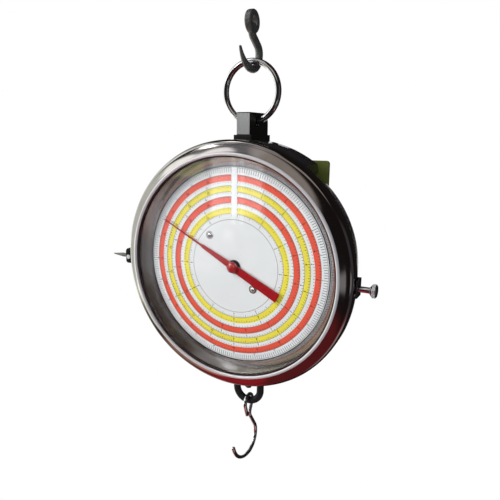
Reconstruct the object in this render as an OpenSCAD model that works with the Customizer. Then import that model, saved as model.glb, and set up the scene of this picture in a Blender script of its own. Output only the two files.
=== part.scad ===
// Hanging dial scale: an eye hook carries a ring, the ring carries a round case, and a spring movement in
// the case turns the pointer while the load loop and its hook are drawn down.
// Lengths are in millimetres. X is to the right of the dial, Y runs from the dial to the back, Z is up.
// The origin is the centre of the hanging eye. Most modules are written from the hub of the dial, with the
// dial's front face at depth 0, and from_hub() moves them into the part's own frame.

/* [Dial] */
// Radius of the printed dial plate
dial_r = 98.8; // [96:0.1:99]
// Thickness of the dial plate
dial_t = 1; // [0.8:0.1:1.2]
// Angle of the pointer before the upright mark, with no load
pointer_rest = 62.7; // [40:0.1:80]
// Reach of the pointer's needle from the hub
needle_l = 91.5; // [80:0.5:96]
// Reach of the pointer's tail from the hub
tail_l = 55; // [40:0.5:60]

/* [Case] */
// Outside radius of the case pan's side
pan_r = 118.3; // [117.5:0.1:118.3]
// Depth of the back of the pan behind the dial
pan_back = 58; // [57:0.5:60]
// Thickness of the pan's steel
pan_t = 1.6; // [1.2:0.1:1.8]
// Width of the green back plate
plate_w = 150; // [130:1:152]
// Height of the back plate's top edge above the hub
plate_top = 104; // [90:1:108]
// Depth of the back plate's edge below the hub
plate_low = 80; // [60:1:90]
// Thickness of the back plate
plate_t = 4; // [3:0.5:5]

/* [Bezel] */
// Outside radius of the bezel's skirt
bezel_r = 124.3; // [124:0.1:125]
// Radius of the ring of the rolled bead round the glass
bead_ring_r = 110.9; // [110.8:0.05:111]
// Radius of the bead's section
bead_r = 1.9; // [1.8:0.05:2]
// Thickness of the glass
lens_t = 2; // [1.5:0.1:2]

/* [Suspension] */
// Depth of the line from the hanging eye to the load, behind the dial
line_y = 35; // [34.8:0.1:35.2]
// Height of the hanging eye above the hub
eye_z = 234.5; // [234:0.1:235]
// Radius of the bore of the hanging eye
eye_bore_r = 6; // [5:0.1:6.5]
// Radius of the hook's bar
hook_bar_r = 3.8; // [3.6:0.05:3.85]
// Middle radius of the ring
ring_r = 28.7; // [28.6:0.05:28.8]
// Radius of the ring's wire
ring_wire_r = 3.1; // [3:0.05:3.15]
// Width of the hanger lug
lug_w = 14; // [12:0.5:14]

/* [Load] */
// Travel of the draw rod from no load to full load
draw_travel = 37.6; // [30:0.1:38]
// Radius of the draw rod
rod_r = 3; // [2.8:0.1:3]
// Middle radius of the load loop's bend
loop_r = 14.4; // [14:0.1:15]
// Radius of the load loop's bar
loop_bar_r = 4; // [3.8:0.1:4]
// Radius of the load hook's wire
wire_r = 2.15; // [2:0.05:2.2]

/* [Movement] */
// Module of the rack and pinion
gear_module = 0.8; // [0.8]
// Number of teeth on the pinion
pinion_teeth = 13; // [13]
// Outer radius of the load springs
spring_r = 8; // [7:0.1:8.5]
// Radius of the spring wire
spring_wire_r = 0.9; // [0.8:0.05:1]
// Turns of each load spring
spring_turns = 16; // [12:1:20]

/* [Hidden] */
$fn = 96;
eps = 0.5;            // how far a cutter runs past the face that it cuts

// Pan: the side runs straight back to the taper, which ends in a round corner
pan_taper_y = 18;
corner_r = 20;
corner_ring_r = 92;
flange_inner_r = 100;
flange_r = 122.8;
flange_y = [1.3, 3.3];
lip_front_y = -4;
lip_t = 1.4;

// Hanger
eye_r = 11;
eye_half_t = 3.6;
ring_z = 169.8;
ring_low_z = ring_z - ring_r;
lug_y = [17, 60];
lug_top = 150;
lug_bore_r = 4.6;
lug_bore_drop = 0.5;
lug_root_z = 116;
saddle_r = 124.4;
saddle_y = [5, 56];
saddle_half_angle = 35;
rivet_angles = [-28, -14, 14, 28];
rivet_y = 26;
rivet_root = 110;
hanger_bolt_y = [24, 46];
hanger_bolt_r = 3;
hanger_bolt_top = 134;
hanger_nut_r = 5.2;
hanger_nut_h = 4;
bolt_hole_r = 3.2;

// Chassis and movement
chassis_y = 12;
chassis_t = 2;
chassis_half_w = 60;
chassis_z = [-70, 100];
shelf_z = 96;
shelf_half_w = 26;
shelf_back_y = 50;
anchor_z = 88;
anchor_half_l = 46;
anchor_half_t = 6;
anchor_screw_x = 18;
anchor_screw_r = 2;
spring_x = 38;
cross_z = -50;
cross_t = 8;
cross_y = [31, 39];
shaft_r = 1.5;
shaft_clear = 0.05;
bridge_y = 44;
bridge_t = 2;
front_bush_r = 4.5;
rear_bush_r = 3.5;
pitch_r = gear_module * pinion_teeth / 2;
gear_y = [25, 31];
tooth_gap = 0.15;
foot_screw_x = [10, 17];
foot_screw_r = 1.25;
pillar_screw_r = 2;
pillar_hole_r = 2.2;
pillar_screw_y = pan_back - 9;
pillar_at = [[-54, -50], [54, -50], [-54, 60], [54, 60]];
bridge_pillar_at = [[-20, 8], [20, 8]];
dial_screw_at = [[-27.9, 29.7], [21.2, -20.7]];
dial_rest_at = [[-28, -28], [28, 28]];
dial_screw_r = 1.5;
dial_hole_r = 5.5;
stop_x = 24;

// Load loop
loop_z = -149.9;
loop_top_z = -138;
rod_low_z = -148.5;
guide_z = -116.5;
guide_r = 6;

// Bezel
bezel_back_y = 0.8;
bead_y = -15.4;
lens_back_y = -11.2;
lens_r = 109.2;
gasket_t = 1;
lens_seat_r = 107.4;

// Side lugs
lug_inner_x = bezel_r + 0.6;
lug_front_y = -6.5;
lug_back_y = 14;
lug_weld_y = flange_y[1] + 0.7;
locating_pin_at = [-1, -3.5];
locating_pin_r = 2.2;
pin_lug_w = 7;
set_screw_r = 1.2;
clamp_axis = [-2, -4.5];
clamp_hole_r = 2.85;
clamp_shaft_r = 2.8;
skirt_gap = 0.25;

// Moves a shape from the hub's frame into the part's frame.
module from_hub() {
    translate([0, -line_y, -eye_z]) children();
}

// Turns a flat outline of [radius, depth] points round the hub's axis.
module turned() {
    rotate([-90, 0, 0]) rotate_extrude() children();
}

// A round bar along the depth, from depth y0 to depth y1, at the place [x, z] on the dial.
module depth_bar(r, y0, y1, at = [0, 0]) {
    translate([at[0], y0, at[1]]) rotate([-90, 0, 0]) cylinder(h = y1 - y0, r = r);
}

// A round bar along X at the place [y, z], from x0 to x1.
module cross_bar(r, x0, x1, at) {
    translate([x0, at[0], at[1]]) rotate([0, 90, 0]) cylinder(h = x1 - x0, r = r);
}

// A plate cut from a flat outline drawn in X and Z, from depth y0 to depth y1.
module depth_plate(y0, y1) {
    translate([0, y1, 0]) rotate([90, 0, 0]) linear_extrude(y1 - y0) children();
}

// A box between two corners.
module block(low, high) {
    translate(low) cube(high - low);
}

// Points of a bar that is bent in the plane of Y and Z, from at = [y, z] and along heading. Each step is
// [straight length, bend angle, bend radius], and a positive angle bends to the left of the heading.
function bent_path(steps, at, heading, i = 0) =
    i == len(steps) ? [[0, at[0], at[1]]] :
    let (run = steps[i][0], bend = steps[i][1], side = sign(bend), r = steps[i][2],
         corner = at + run * [cos(heading), sin(heading)],
         centre = corner + side * r * [-sin(heading), cos(heading)],
         count = ceil(abs(bend) / 8),
         arc = [for (k = [0 : 1 : count]) let (a = heading + bend * k / count)
                centre + side * r * [sin(a), -cos(a)]],
         stop = bend == 0 ? corner : arc[count])
    concat(
        run > 0 ? [[0, at[0], at[1]]] : [],
        bend == 0 ? [] : [for (k = [0 : 1 : count - 1]) [0, arc[k][0], arc[k][1]]],
        bent_path(steps, stop, heading + bend, i + 1)
    );

// A closed round tube along a path, with one radius for each of its points. The rings start at the side
// that lean points to.
module tube(path, radii, sides, lean) {
    last = len(path) - 1;
    function unit(v) = v / norm(v);
    function along(i) = unit(path[min(i + 1, last)] - path[max(i - 1, 0)]);
    points = [for (i = [0 : last])
        let (t = along(i), u = unit(lean - (lean * t) * t), v = cross(t, u))
        for (k = [0 : sides - 1])
            path[i] + radii[i] * (cos(360 * k / sides) * u + sin(360 * k / sides) * v)];
    faces = concat(
        [[for (k = [0 : sides - 1]) k]],
        [for (i = [0 : last - 1], k = [0 : sides - 1])
            let (a = i * sides + k, b = i * sides + (k + 1) % sides)
            each [[a, a + sides, b + sides], [a, b + sides, b]]],
        [[for (k = [sides - 1 : -1 : 0]) last * sides + k]]
    );
    polyhedron(points, faces);
}

// Outline of the pan, drawn in from its outside by inset.
function pan_outline(inset, front) = concat(
    [[0, front], [pan_r - inset, front], [pan_r - inset, pan_taper_y]],
    [for (a = [0 : 15 : 90]) [corner_ring_r + (corner_r - inset) * cos(a),
                              pan_back - corner_r + (corner_r - inset) * sin(a)]],
    [[0, pan_back - inset]]
);

// The space that the pan fills, for parts that lie against its outside or its inside.
module pan_space(inset = 0) {
    turned() polygon(pan_outline(inset, flange_y[0] - (inset > 0 ? eps : 0)));
}

// The space that the saddle fills before the pan is taken from it.
module saddle_space() {
    turned() polygon([[0, saddle_y[0]], [saddle_r - 1.8, saddle_y[0]], [saddle_r, saddle_y[0] + 4],
                      [saddle_r, saddle_y[1] - 22], [saddle_r - 10.4, saddle_y[1]], [0, saddle_y[1]]]);
}

// Steel hook with a forged eye, which is bent from round bar and drawn to a point.
module suspension_hook() {
    ring_gap = 0.4;
    tip_turn = 69;
    tip_ring_r = 27.5;
    tip_share = 0.32;
    taper_rings = 7;
    low = [line_y + 1, ring_z + ring_r - ring_wire_r - ring_gap - hook_bar_r];
    tip = [low[0] - tip_ring_r * sin(tip_turn), low[1] + tip_ring_r * (1 - cos(tip_turn))];
    // the tip's sweep, the two bends of the back, and the neck that leans in under the eye
    path = bent_path([[0, tip_turn, tip_ring_r], [0, 90, 15.5], [0, 55, 9], [11.9, -55, 7], [3, 0, 0]],
                     tip, -tip_turn);
    radii = [for (i = [0 : len(path) - 1])
        hook_bar_r * (tip_share + (1 - tip_share) * min(1, i / taper_rings))];
    color("dimgray") from_hub() difference() {
        union() {
            cross_bar(eye_r, -eye_half_t, eye_half_t, [line_y, eye_z]);
            tube(path, radii, 20, [1, 0, 0]);
        }
        cross_bar(eye_bore_r, -eye_r, eye_r, [line_y, eye_z]);
    }
}

// Chromed wire ring between the hook and the case.
module suspension_ring() {
    color("silver") from_hub()
        translate([0, line_y, ring_z]) rotate([90, 0, 0])
            rotate_extrude() translate([ring_r, 0]) circle(ring_wire_r, $fn = 48);
}

// Holes or shanks at the places of the two hanger bolts.
module at_hanger_bolts() {
    for (y = hanger_bolt_y) translate([0, y, 0]) children();
}

// Lug that the ring passes through, with a foot shaped to the saddle.
module hanger_lug() {
    round_r = 10;
    foot_out = 2.5;
    foot_z = 128.5;
    color("gray") from_hub() difference() {
        union() {
            translate([-lug_w / 2, 0, 0]) rotate([90, 0, 90]) linear_extrude(lug_w)
                polygon(concat(
                    [[lug_y[0], lug_root_z], [lug_y[1], lug_root_z]],
                    [for (a = [0 : 15 : 90]) [lug_y[1] - round_r * (1 - cos(a)),
                                              lug_top - round_r * (1 - sin(a))]],
                    [[lug_y[0] + 1, lug_top], [lug_y[0], lug_top - 1]]
                ));
            block([-lug_w / 2 - foot_out, lug_y[0] - 1.5, lug_root_z],
                  [lug_w / 2 + foot_out, lug_y[1], foot_z]);
        }
        cross_bar(lug_bore_r, -lug_w, lug_w, [line_y, ring_low_z - lug_bore_drop]);
        saddle_space();
        pan_space();
        at_hanger_bolts() cylinder(h = hanger_bolt_top, r = hanger_bolt_r);
    }
}

// Pressed saddle that spreads the pull of the lug over the top of the pan.
module saddle() {
    half = saddle_half_angle;
    reach = 200;
    color("darkslategray") from_hub() difference() {
        intersection() {
            saddle_space();
            depth_plate(0, 60)
                polygon([[0, 0], [reach * sin(half), reach * cos(half)], [0, 2 * reach],
                         [-reach * sin(half), reach * cos(half)]]);
        }
        pan_space();
        at_hanger_bolts() cylinder(h = 2 * saddle_r, r = bolt_hole_r);
        rivet_shanks();
    }
}

// The shanks of the saddle's rivets, which also cut their holes.
module rivet_shanks() {
    for (a = rivet_angles)
        rotate([0, a, 0]) translate([0, rivet_y, rivet_root])
            cylinder(h = saddle_r + 0.1 - rivet_root, r = 2);
}

// Four flat rivets that hold the saddle to the pan.
module saddle_rivets() {
    color("darkslategray") from_hub() {
        rivet_shanks();
        for (a = rivet_angles)
            rotate([0, a, 0]) translate([0, rivet_y, saddle_r + 0.05]) cylinder(h = 0.8, r1 = 3.4, r2 = 2.6);
    }
}

// Two bolts that tie the chassis shelf, the pan and the saddle to the lug.
module hanger_bolts() {
    color("silver") from_hub() at_hanger_bolts() {
        translate([0, 0, shelf_z - hanger_nut_h]) cylinder(h = hanger_nut_h, r = hanger_nut_r, $fn = 6);
        translate([0, 0, shelf_z]) cylinder(h = hanger_bolt_top - shelf_z, r = hanger_bolt_r);
    }
}

// Sleeves on the bolts, between the chassis shelf and the roof of the pan.
module hanger_spacers() {
    wall = 2.2;
    color("silver") from_hub() intersection() {
        at_hanger_bolts() difference() {
            translate([0, 0, chassis_z[1]]) cylinder(h = pan_r - chassis_z[1], r = bolt_hole_r + wall);
            cylinder(h = pan_r, r = bolt_hole_r);
        }
        pan_space(pan_t);
    }
}

// Deep-drawn pan with a turned-out flange and a lip that the bezel's skirt slides over.
module case_pan() {
    color("black") from_hub() difference() {
        union() {
            pan_space();
            turned() translate([flange_inner_r, flange_y[0]])
                square([flange_r - flange_inner_r, flange_y[1] - flange_y[0]]);
            turned() translate([flange_r - lip_t, lip_front_y])
                square([lip_t, flange_y[0] - lip_front_y + eps]);
        }
        pan_space(pan_t);
        at_hanger_bolts() cylinder(h = 2 * pan_r, r = bolt_hole_r);
        rivet_shanks();
        for (at = pillar_at) depth_bar(pillar_hole_r, pillar_screw_y, pan_back + eps, at);
        translate([0, line_y, -pan_r]) cylinder(h = pan_r, r = guide_r);
    }
}

// Enamelled steel plate across the back of the pan.
module back_plate() {
    corner = 3;
    color("darkolivegreen") from_hub() difference() {
        depth_plate(pan_back, pan_back + plate_t)
            polygon([for (c = [[1, 1, 0], [-1, 1, 90], [-1, -1, 180], [1, -1, 270]], a = [0 : 30 : 90])
                [c[0] * (plate_w / 2 - corner) + corner * cos(a + c[2]),
                 (c[1] > 0 ? plate_top - corner : -plate_low + corner) + corner * sin(a + c[2])]]);
        for (at = pillar_at) depth_bar(pillar_hole_r, pan_back - eps, pan_back + plate_t + eps, at);
    }
}

// Four round-headed screws that pass the plate and the pan and end in the pillars.
module back_plate_screws() {
    back = pan_back + plate_t;
    color("silver") from_hub()
        for (at = pillar_at) difference() {
            union() {
                depth_bar(pillar_screw_r, pillar_screw_y, back + eps, at);
                depth_bar(4.2, back, back + 1.4, at);
                depth_bar(3.2, back + 1.4, back + 2.4, at);
            }
            translate([at[0] - 5, back + 1.6, at[1] - 0.5]) cube([10, 2, 1]);
        }
}

// Four pillars that carry the chassis plate from the back of the pan.
module chassis_pillars() {
    color("silver") from_hub()
        for (at = pillar_at) difference() {
            depth_bar(4, chassis_y + chassis_t, pan_back - pan_t, at);
            depth_bar(pillar_screw_r, pillar_screw_y, pan_back, at);
        }
}

// Chassis: a steel plate behind the dial, with a shelf bent back under the lug.
module chassis_plate() {
    color("lightsteelblue") from_hub() difference() {
        union() {
            intersection() {
                block([-chassis_half_w, chassis_y, chassis_z[0]],
                      [chassis_half_w, chassis_y + chassis_t, chassis_z[1]]);
                depth_bar(112, 0, 30);
            }
            block([-shelf_half_w, chassis_y, shelf_z], [shelf_half_w, shelf_back_y, chassis_z[1]]);
        }
        depth_bar(front_bush_r, 0, line_y);
        at_hanger_bolts() translate([0, 0, anchor_z]) cylinder(h = 40, r = bolt_hole_r);
        anchor_screw_shanks();
    }
}

// The shanks of the anchor's screws, which also cut their holes.
module anchor_screw_shanks() {
    for (x = [-anchor_screw_x, anchor_screw_x])
        translate([x, line_y, anchor_z]) cylinder(h = chassis_z[1] - anchor_z + 2, r = anchor_screw_r);
}

// Bar under the shelf that the tops of the springs hang from.
module spring_anchor() {
    color("silver") from_hub() difference() {
        block([-anchor_half_l, line_y - anchor_half_t, anchor_z],
              [anchor_half_l, line_y + anchor_half_t, shelf_z]);
        translate([0, 0, -1]) anchor_screw_shanks();
    }
}

// Two screws that hold the spring anchor up to the shelf.
module anchor_screws() {
    head_h = 2.5;
    color("silver") from_hub() {
        anchor_screw_shanks();
        for (x = [-anchor_screw_x, anchor_screw_x])
            translate([x, line_y, anchor_z - head_h]) cylinder(h = head_h, r = 3.6);
    }
}

// Rubber-sleeved studs that the crosshead rests up against with no load.
module rest_stops() {
    stop_r = 4;
    color("dimgray") from_hub()
        for (x = [-stop_x, stop_x])
            depth_bar(stop_r, chassis_y + chassis_t, cross_y[1], [x, cross_z + stop_r + 0.2]);
}

// Block that keeps the rack in mesh.
module rack_guide() {
    color("burlywood") from_hub()
        block([11.3, chassis_y + chassis_t, -5], [16, gear_y[1] - 1, 5]);
}

// Flanged bush that guides the draw rod through the bottom of the pan.
module rod_guide() {
    color("goldenrod") from_hub() difference() {
        union() {
            translate([0, line_y, guide_z]) cylinder(h = 12.5, r = guide_r);
            difference() {
                translate([0, line_y, guide_z]) cylinder(h = 8, r = guide_r + 3);
                pan_space();
            }
        }
        translate([0, line_y, guide_z - eps]) cylinder(h = 20, r = rod_r + shaft_clear);
    }
}

// Two pillars between the chassis plate and the rear bearing's bridge.
module bridge_pillars() {
    color("silver") from_hub()
        for (at = bridge_pillar_at) depth_bar(3, chassis_y + chassis_t, bridge_y, at);
}

// Bridge that carries the rear bearing of the pointer's shaft.
module bearing_bridge() {
    color("lightsteelblue") from_hub() difference() {
        block([-25, bridge_y, -8], [25, bridge_y + bridge_t, 14]);
        depth_bar(rear_bush_r, line_y, pan_back);
    }
}

// Front bearing of the pointer's shaft, pressed into the chassis plate.
module front_bush() {
    color("goldenrod") from_hub() difference() {
        union() {
            depth_bar(front_bush_r, chassis_y - 2, chassis_y + chassis_t);
            depth_bar(front_bush_r + 2, chassis_y + chassis_t, chassis_y + chassis_t + 2);
        }
        depth_bar(shaft_r + shaft_clear, 0, line_y);
    }
}

// Rear bearing of the pointer's shaft, pressed into the bridge.
module rear_bush() {
    color("goldenrod") from_hub() difference() {
        union() {
            depth_bar(rear_bush_r, bridge_y, bridge_y + bridge_t);
            depth_bar(rear_bush_r + 1.5, bridge_y - 1.5, bridge_y);
        }
        depth_bar(shaft_r + shaft_clear, line_y, pan_back);
    }
}

// Four posts that hold the dial off the chassis plate, two of them tapped.
module dial_posts() {
    post_r = 3.5;
    color("silver") from_hub() {
        for (at = dial_screw_at) difference() {
            depth_bar(post_r, dial_t, chassis_y, at);
            depth_bar(dial_screw_r, 0, 9, at);
        }
        for (at = dial_rest_at) depth_bar(post_r, dial_t, chassis_y, at);
    }
}

// Round aluminium dial plate, which carries the printed scale.
module dial_plate() {
    color("white") from_hub() difference() {
        depth_bar(dial_r, 0, dial_t);
        depth_bar(dial_hole_r, -eps, dial_t + eps);
        for (at = dial_screw_at) depth_bar(dial_screw_r, -eps, dial_t + eps, at);
    }
}

// Two domed dial screws with washers.
module dial_screws() {
    washer_t = 0.5;
    color("silver") from_hub()
        for (at = dial_screw_at) {
            depth_bar(dial_screw_r, -washer_t, 8, at);
            depth_bar(4.3, -washer_t, 0, at);
            translate([at[0], -washer_t, at[1]]) rotate([90, 0, 0]) intersection() {
                translate([0, 0, -2]) sphere(3.7, $fn = 48);
                cylinder(h = 3, r = 3);
            }
        }
}

// Black bushing in the middle of the dial, round the pointer's shaft.
module dial_bushing() {
    color("black") from_hub() difference() {
        union() {
            depth_bar(dial_hole_r, 0, dial_t + 1);
            depth_bar(dial_hole_r + 1.5, -1.4, 0);
        }
        depth_bar(2.2, -2, dial_t + 2);
    }
}

// Bracket on the right of the pan, tapped for the thumb screw.
module clamp_lug() {
    wall = 1.5;
    foot_t = 3;
    back_y = lug_weld_y + foot_t;
    z = [-12.5, 4];
    color("black") from_hub() difference() {
        union() {
            block([lug_inner_x, lug_front_y, z[0]], [lug_inner_x + wall, back_y, z[1]]);
            block([flange_inner_r, lug_weld_y, z[0]], [lug_inner_x + 1, back_y, z[1]]);
        }
        pan_space();
        cross_bar(clamp_hole_r, pan_r, lug_inner_x + wall + eps, clamp_axis);
    }
}

// Chamfered block on the left of the pan that holds the locating pin.
module pin_lug() {
    z = [-11, 5];
    cut = 2;
    color("black") from_hub() difference() {
        union() {
            translate([-lug_inner_x - pin_lug_w, 0, 0]) rotate([90, 0, 90]) linear_extrude(pin_lug_w)
                polygon([[lug_front_y + cut, z[0]], [lug_back_y, z[0]], [lug_back_y, z[1]],
                         [lug_front_y + cut, z[1]], [lug_front_y, z[1] - cut], [lug_front_y, z[0] + cut]]);
            block([-lug_inner_x - 1, lug_weld_y, z[0]], [-flange_inner_r, lug_back_y, z[1]]);
        }
        pan_space();
        cross_bar(locating_pin_r, -lug_inner_x - pin_lug_w - eps, -pan_r, locating_pin_at);
        set_screw_shank(lug_front_y - eps, locating_pin_at[0]);
    }
}

// The shank of the set screw, from depth y0 to depth y1.
module set_screw_shank(y0, y1) {
    depth_bar(set_screw_r, y0, y1, [-lug_inner_x - pin_lug_w / 2, locating_pin_at[1]]);
}

// Taper pin that locates the bezel's skirt on the left.
module locating_pin() {
    inner = -bezel_r - skirt_gap;
    straight_l = 16;
    color("silver") from_hub() {
        cross_bar(locating_pin_r, inner - straight_l, inner, locating_pin_at);
        translate([inner - straight_l, locating_pin_at[0], locating_pin_at[1]]) rotate([0, -90, 0])
            cylinder(h = 13, r1 = locating_pin_r, r2 = 0.5);
    }
}

// Small screw that locks the locating pin in its lug.
module pin_set_screw() {
    head_h = 0.8;
    color("silver") from_hub() {
        set_screw_shank(lug_front_y, locating_pin_at[0] - locating_pin_r);
        depth_bar(2 * set_screw_r, lug_front_y - head_h, lug_front_y,
                  [-lug_inner_x - pin_lug_w / 2, locating_pin_at[1]]);
    }
}

// Shaft that carries the pointer in front and the pinion behind.
module pointer_shaft() {
    color("silver") from_hub() depth_bar(shaft_r, -5, bridge_y + 3);
}

// Involute of an angle, in degrees.
function involute(a) = tan(a) * 180 / PI - a;

// Half the angle that a pinion tooth fills at radius r.
function tooth_half_angle(r) =
    let (base_r = pitch_r * cos(20), a = r > base_r ? acos(base_r / r) : 0)
    (PI * gear_module / 2 - tooth_gap) / 2 / pitch_r * 180 / PI + involute(20) - involute(a);

// Pinion on the pointer's shaft, driven by the rack.
module pinion() {
    root_r = pitch_r - 1.25 * gear_module;
    tip_r = pitch_r + 0.95 * gear_module;
    flank = [root_r, pitch_r * cos(20), pitch_r - 0.1, pitch_r + 0.4 * gear_module, tip_r];
    color("goldenrod") from_hub() difference() {
        union() {
            depth_plate(gear_y[0], gear_y[1]) {
                circle(root_r + 0.05);
                for (k = [0 : pinion_teeth - 1]) rotate(k * 360 / pinion_teeth)
                    polygon(concat(
                        [[0, 0]],
                        [for (r = flank) [r * cos(tooth_half_angle(r)), -r * sin(tooth_half_angle(r))]],
                        [for (i = [len(flank) - 1 : -1 : 0])
                            [flank[i] * cos(tooth_half_angle(flank[i])),
                             flank[i] * sin(tooth_half_angle(flank[i]))]]
                    ));
            }
            depth_bar(3.6, gear_y[1], gear_y[1] + 5);
        }
        depth_bar(shaft_r, 0, 60);
    }
}

// Painted pointer: a fine needle that widens towards the hub, and a broad tail.
module pointer() {
    color("firebrick") from_hub() rotate([0, -pointer_rest, 0]) difference() {
        union() {
            depth_plate(-3.6, -2.6)
                polygon([[-0.45, needle_l], [-0.9, 41], [-1.7, 39], [-3.2, 6], [-3.6, 0], [-4.9, -tail_l],
                         [4.9, -tail_l], [3.6, 0], [3.2, 6], [1.7, 39], [0.9, 41], [0.45, needle_l]]);
            depth_bar(4.4, -3.9, -2.2);
        }
        depth_bar(shaft_r, -10, 0);
    }
}

// Domed cap over the end of the shaft.
module pointer_cap() {
    cap_r = 5.7;
    color("firebrick") from_hub() difference() {
        union() {
            depth_bar(cap_r, -5.2, -3.9);
            intersection() {
                translate([0, 2.2, 0]) sphere(9.35);
                depth_bar(cap_r, -9, -5.2);
            }
        }
        depth_bar(shaft_r, -5, 0);
    }
}

// One load spring: a wire that rises from the crosshead, winds up, and runs to the anchor.
module load_spring(x) {
    low = cross_z + 0.2;
    high = anchor_z - 0.2;
    end_l = 7;
    per_turn = 10;
    coil_r = spring_r - spring_wire_r;
    rings = spring_turns * per_turn;
    coil_l = high - low - 2 * end_l;
    function reach(i) = coil_r * min(1, min(i, rings - i) / (per_turn / 2));
    coil = [for (i = [0 : rings]) [reach(i) * cos(360 * i / per_turn), reach(i) * sin(360 * i / per_turn),
                                   low + end_l + coil_l * i / rings]];
    path = concat([[-1, 0, low]], coil, [[-1, 0, high]]);
    translate([x, line_y, 0]) tube(path, [for (p = path) spring_wire_r], 6, [0, 0, 1]);
}

// Load springs, one each side of the pointer's shaft.
module left_spring() {
    color("silver") from_hub() load_spring(-spring_x);
}

module right_spring() {
    color("silver") from_hub() load_spring(spring_x);
}

// The shanks of the rack's foot screws, which also cut their holes.
module foot_screw_shanks() {
    for (x = foot_screw_x) depth_bar(foot_screw_r, gear_y[0], cross_y[1] - 2, [x, cross_z - cross_t / 2]);
}

// Crossbar that the springs pull up and the draw rod pulls down.
module crosshead() {
    color("silver") from_hub() difference() {
        block([-44, cross_y[0], cross_z - cross_t], [44, cross_y[1], cross_z]);
        translate([0, line_y, rod_low_z]) cylinder(h = -rod_low_z, r = rod_r);
        foot_screw_shanks();
    }
}

// Rack that stands on the crosshead and turns the pinion.
module rack() {
    pitch = PI * gear_module;
    above = 0.6 * gear_module;
    below = 1.25 * gear_module;
    half = (pitch / 2 - tooth_gap) / 2;
    slope = tan(20);
    back_x = 11;
    root_x = pitch_r + below;
    tip_x = pitch_r - above;
    // the teeth run two pitches past the pinion at each end of the travel
    last_tooth = ceil(draw_travel / pitch) + 2;
    top_z = (last_tooth + 1) * pitch + 1;
    color("goldenrod") from_hub() difference() {
        depth_plate(gear_y[0], gear_y[1])
            polygon(concat(
                [[root_x, cross_z - cross_t], [20, cross_z - cross_t], [20, cross_z], [back_x, cross_z],
                 [back_x, top_z], [root_x, top_z]],
                [for (k = [last_tooth : -1 : -3]) let (z = (k + 0.5) * pitch)
                    each [[root_x, z + half + below * slope], [tip_x, z + half - above * slope],
                          [tip_x, z - half + above * slope], [root_x, z - half - below * slope]]]
            ));
        foot_screw_shanks();
    }
}

// Two screws that hold the rack's foot to the crosshead.
module rack_screws() {
    color("silver") from_hub()
        union() {
            foot_screw_shanks();
            for (x = foot_screw_x)
                depth_bar(2.2, gear_y[0] - 1.5, gear_y[0], [x, cross_z - cross_t / 2]);
        }
}

// Rod from the crosshead to the load loop.
module draw_rod() {
    nut_side_l = 4.5;
    color("silver") from_hub() translate([0, line_y, rod_low_z])
        cylinder(h = cross_z + nut_side_l - rod_low_z, r = rod_r);
}

// Nut that holds the draw rod in the crosshead.
module rod_nut() {
    color("silver") from_hub() difference() {
        translate([0, line_y, cross_z]) cylinder(h = 4, r = 5.4, $fn = 6);
        translate([0, line_y, cross_z - 1]) cylinder(h = 10, r = rod_r);
    }
}

// Closed shackle under the case.
module load_loop() {
    leg = loop_top_z - loop_z;
    color("black") from_hub() translate([0, line_y, 0]) difference() {
        union() {
            translate([0, 0, loop_z]) rotate([90, 0, 0]) rotate_extrude(angle = -180)
                translate([loop_r, 0]) circle(loop_bar_r, $fn = 48);
            for (x = [-loop_r, loop_r]) {
                translate([x, 0, loop_z]) cylinder(h = leg, r = loop_bar_r, $fn = 48);
                translate([x, 0, loop_top_z]) sphere(loop_bar_r, $fn = 48);
            }
            cross_bar(loop_bar_r, -loop_r, loop_r, [0, loop_top_z]);
            translate([0, 0, loop_top_z - 5]) cylinder(h = 10, r = 6.5);
        }
        translate([0, 0, loop_top_z - 20]) cylinder(h = 40, r = rod_r);
    }
}

// Nut that holds the load loop on the rod.
module loop_nut() {
    color("black") from_hub() translate([0, line_y, loop_top_z - 8.6]) difference() {
        cylinder(h = 3.6, r = 5, $fn = 6);
        translate([0, 0, -1]) cylinder(h = 10, r = rod_r);
    }
}

// Hook bent from chromed wire, which hangs on the loop.
module load_hook() {
    top_r = 8.7;
    tail = 12.5;
    // where the tail meets the top bend, a little below the bend's middle on the front side
    tail_tilt = 20;
    bar_top_z = loop_z - loop_r + loop_bar_r;
    middle_z = bar_top_z + 0.3 + wire_r - top_r;
    start = [line_y - top_r * cos(tail_tilt) + tail * sin(tail_tilt),
             middle_z - top_r * sin(tail_tilt) - tail * cos(tail_tilt)];
    path = bent_path([[tail, -230, top_r], [7.6, 65, 8], [20.6, -125, 18], [0, -71, 40]],
                     start, 90 + tail_tilt);
    color("silver") from_hub() tube(path, [for (p = path) wire_r], 16, [1, 0, 0]);
}

// Spun bezel: a bead, a sloping band, a round shoulder and a skirt.
module bezel_ring() {
    band = [[113.3, -13.6], [119.5, -11.2]];
    shoulder_r = 5;
    shoulder = [bezel_r - shoulder_r, -6.2];
    wall = 1.2;
    lip_y = lens_back_y - lens_t - gasket_t;
    arc = [75, 60, 45, 30, 15, 0];
    color("dimgray") from_hub() turned() {
        polygon(concat(
            [[bead_ring_r, bead_y], band[0], band[1]],
            [for (a = arc) [shoulder[0] + shoulder_r * cos(a), shoulder[1] - shoulder_r * sin(a)]],
            [[bezel_r, bezel_back_y], [bezel_r - wall, bezel_back_y]],
            [for (i = [len(arc) - 1 : -1 : 0]) [shoulder[0] + (shoulder_r - wall) * cos(arc[i]),
                                                shoulder[1] - (shoulder_r - wall) * sin(arc[i])]],
            [[119, -9.9], [113, -12.2], [109.8, lip_y]]
        ));
        translate([bead_ring_r, bead_y]) circle(bead_r, $fn = 48);
        translate([lens_seat_r, lip_y - 1]) square([bead_ring_r - lens_seat_r, 1]);
    }
}

// Rubber ring between the bezel's lip and the glass.
module lens_gasket() {
    color("black") from_hub() turned()
        translate([lens_seat_r + 0.2, lens_back_y - lens_t - gasket_t]) square([1.7, gasket_t]);
}

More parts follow.
